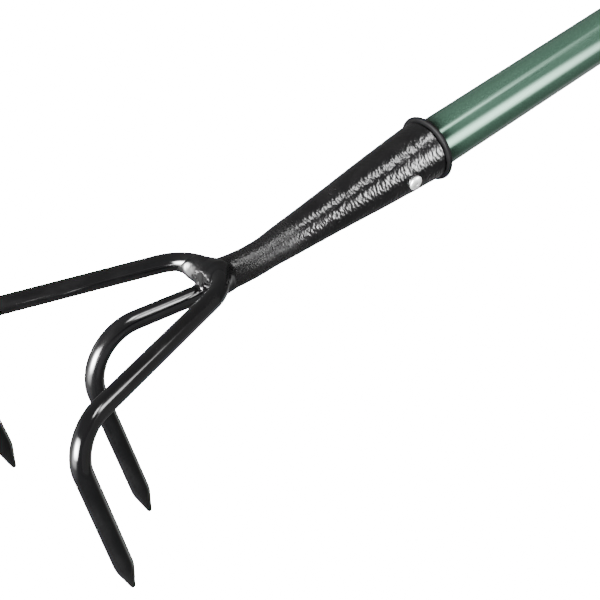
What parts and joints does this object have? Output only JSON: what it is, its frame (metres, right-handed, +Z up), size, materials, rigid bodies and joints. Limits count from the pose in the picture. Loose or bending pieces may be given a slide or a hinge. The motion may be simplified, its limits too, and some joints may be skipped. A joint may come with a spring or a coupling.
{
  "type": "hand cultivator",
  "caption": "Three-pronged hand cultivator with round-bar tines welded to a tapered socket, riveted on a tubular handle with a ribbed grip.",
  "frame": {"origin": "centre of the bounding box's bottom face: the tool lies on z = 0 on its butt and on the point of its centre tine", "axes": "+X from the tines to the butt along the tool's length, +Y from the near outer tine to the far one, +Z up, away from the points. The handle's own axis lies in the XZ plane, about 9 degrees below +X"},
  "size_m": [0.5568, 0.1186, 0.1222],
  "materials": {
    "tine_black": "gloss black paint on round steel bar",
    "weld_black": "gloss black paint over rippled weld",
    "socket_black": "black hammered texture paint, satin to gloss",
    "tube_green": "metallic green enamel on steel tube, glossy",
    "bush_black": "smooth black plastic",
    "rivet_silver": "bright aluminium",
    "mandrel_steel": "plain steel",
    "grip_black": "soft black moulded grip, fine matt grain",
    "plug_black": "black moulded plastic"
  },
  "bodies": {
    "root": {"outer_tines": "tine_black", "centre_tine": "tine_black", "weld_back": "weld_black", "weld_front": "weld_black", "weld_under": "weld_black", "socket": "socket_black", "collar_bush": "bush_black", "handle_tube": "tube_green", "rivet_body": "rivet_silver", "rivet_mandrel": "mandrel_steel", "grip_sleeve": "grip_black", "end_plug": "plug_black"}
  },
  "joints": []
}
